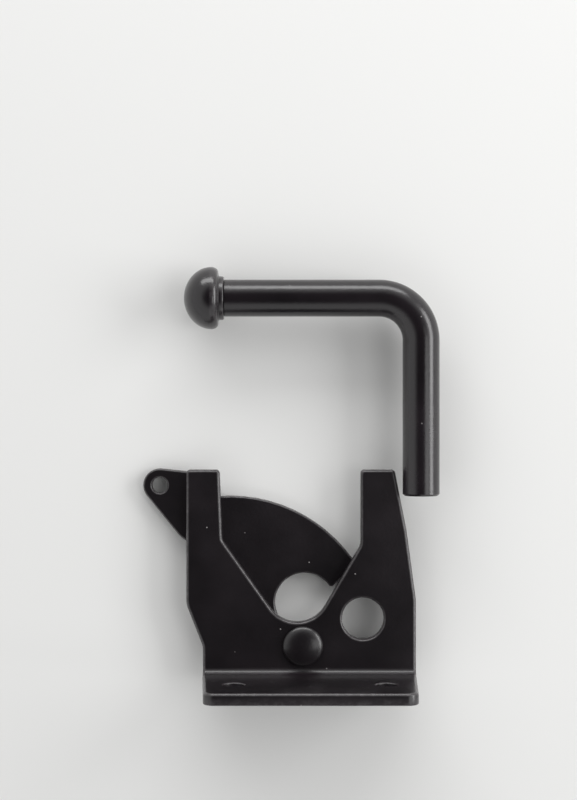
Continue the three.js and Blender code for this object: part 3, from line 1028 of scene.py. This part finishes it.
def lay_along_x(bm, y, z):
    """Turns a form made about Z so that its axis lies along X, at a place on the bar."""
    for vert in bm.verts:
        x, across, height = vert.co
        vert.co = (height, y + x, z + across)


class GATE_LATCH_OT_rod(bpy.types.Operator):
    """Bend the striker rod, with its cut end and its spigot"""

    bl_idname = "gate_latch.rod"
    bl_label = "Striker Rod"

    def execute(self, context):
        settings = context.scene.latch_striker
        seed = seed_mesh("rod line", rod_path(settings), joined=True)
        rod = bake_tree("bent_striker_rod", seed, rod_tree(), {
            "Bend Radius": settings.bend,
            "Bend Steps": settings.bend_steps,
            "Sides": settings.sides,
        }, finish("black coated rod"))
        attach(rod, "striker")
        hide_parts("striker_rod")
        return {"FINISHED"}


class GATE_LATCH_OT_button(bpy.types.Operator):
    """Turn the domed button that is pressed on the rod's spigot"""

    bl_idname = "gate_latch.button"
    bl_label = "Striker Button"

    def execute(self, context):
        settings = context.scene.latch_striker
        dome = lathe(button_profile(settings), settings.sides)
        lay_along_x(dome, BAR_Y, ROD_AXIS)
        button = new_piece("domed_button", dome, finish("black coated rod"))
        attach(button, "striker")
        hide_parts("striker_button")
        return {"FINISHED"}


# ---------------------------------------------------------------- stage

def softbox(name, place_at, aim, size, power):
    """A rectangular light that faces a point."""
    lamp = bpy.data.lights.new(name, "AREA")
    lamp.shape = "RECTANGLE"
    lamp.size, lamp.size_y = size
    lamp.energy = power
    light = bpy.data.objects.new(name, lamp)
    light.location = place_at
    light.rotation_euler = (Vector(aim) - Vector(place_at)).to_track_quat("-Z", "Y").to_euler()
    bpy.context.scene.collection.objects.link(light)


def surround_sky(scene):
    """A grey surround that is bright at the horizon and dark overhead."""
    world = bpy.data.worlds.new("studio surround")
    world.use_nodes = True
    build = Tree(world.node_tree)
    background = world.node_tree.nodes["Background"]
    direction = build.add("ShaderNodeTexCoord").outputs["Generated"]
    height = build.add("ShaderNodeSeparateXYZ", {0: direction}).outputs["Z"]
    strength = between(build, height, low=0.68, high=0.90, to_low=0.90, to_high=0.03)
    build.tree.links.new(strength, background.inputs["Strength"])
    background.inputs["Color"].default_value = (1.0, 1.0, 1.0, 1.0)
    scene.world = world


def lay_floor(settings):
    """A pale matt floor just under the part."""
    bm = bmesh.new()
    bmesh.ops.create_grid(bm, x_segments=1, y_segments=1, size=settings.floor_width / 2)
    bmesh.ops.translate(bm, verts=bm.verts, vec=(0, 0, REST_LEVEL - HAIR))
    material, build, paint = shader("pale floor")
    spot = build.add("ShaderNodeTexCoord").outputs["Object"]
    shade = tuple(c * 0.985 for c in settings.floor)
    tone = blend_colour(build, noise(build, spot, scale=6.0), tuple(settings.floor), shade)
    build.tree.links.new(tone, paint.inputs["Base Color"])
    paint.inputs["Roughness"].default_value = 0.85
    new_piece("pale_floor", bm, material)


def stand_camera(settings, scene):
    """A camera straight above the part, looking down."""
    camera = bpy.data.objects.new("camera", bpy.data.cameras.new("camera"))
    camera.location = (*settings.camera, REST_LEVEL + settings.height)
    camera.data.lens = settings.lens
    scene.collection.objects.link(camera)
    scene.camera = camera


class GATE_LATCH_OT_stage(bpy.types.Operator):
    """Lay the pale floor, hang the soft lights and stand the camera"""

    bl_idname = "gate_latch.stage"
    bl_label = "Stage"

    def execute(self, context):
        settings = context.scene.latch_studio
        lay_floor(settings)
        middle = (CAD_BOX[0] + CAD_BOX[1]) / 2
        for name, ((x, y, height), size, power) in SOFTBOXES.items():
            softbox(name, (middle.x + x, middle.y + y, height), middle, size, power)
        surround_sky(context.scene)
        stand_camera(settings, context.scene)
        context.scene.view_settings.view_transform = "Standard"
        return {"FINISHED"}


# ---------------------------------------------------------------- panel and registration

OPERATORS = [
    GATE_LATCH_OT_body,
    GATE_LATCH_OT_pawl,
    GATE_LATCH_OT_rivet,
    GATE_LATCH_OT_washer,
    GATE_LATCH_OT_studs,
    GATE_LATCH_OT_rod,
    GATE_LATCH_OT_button,
    GATE_LATCH_OT_stage,
]


class GATE_LATCH_PT_panel(bpy.types.Panel):
    """Lists the latch's pieces and their sizes"""

    bl_idname = "GATE_LATCH_PT_panel"
    bl_label = "Gate Latch"
    bl_space_type = "VIEW_3D"
    bl_region_type = "UI"
    bl_category = "Gate Latch"

    def draw(self, context):
        for operator in OPERATORS:
            self.layout.operator(operator.bl_idname)
        for name, group in SETTINGS.items():
            box = self.layout.box()
            box.label(text=group.__doc__)
            for label in group.__annotations__:
                box.prop(getattr(context.scene, name), label)


CLASSES = [*SETTINGS.values(), *OPERATORS, GATE_LATCH_PT_panel]


def register():
    for cls in CLASSES:
        bpy.utils.register_class(cls)
    for name, group in SETTINGS.items():
        setattr(bpy.types.Scene, name, PointerProperty(type=group))


def unregister():
    for name in SETTINGS:
        delattr(bpy.types.Scene, name)
    for cls in reversed(CLASSES):
        bpy.utils.unregister_class(cls)


def main():
    register()
    for operator in OPERATORS:
        family, name = operator.bl_idname.split(".")
        getattr(getattr(bpy.ops, family), name)()


if __name__ == "__main__":
    main()
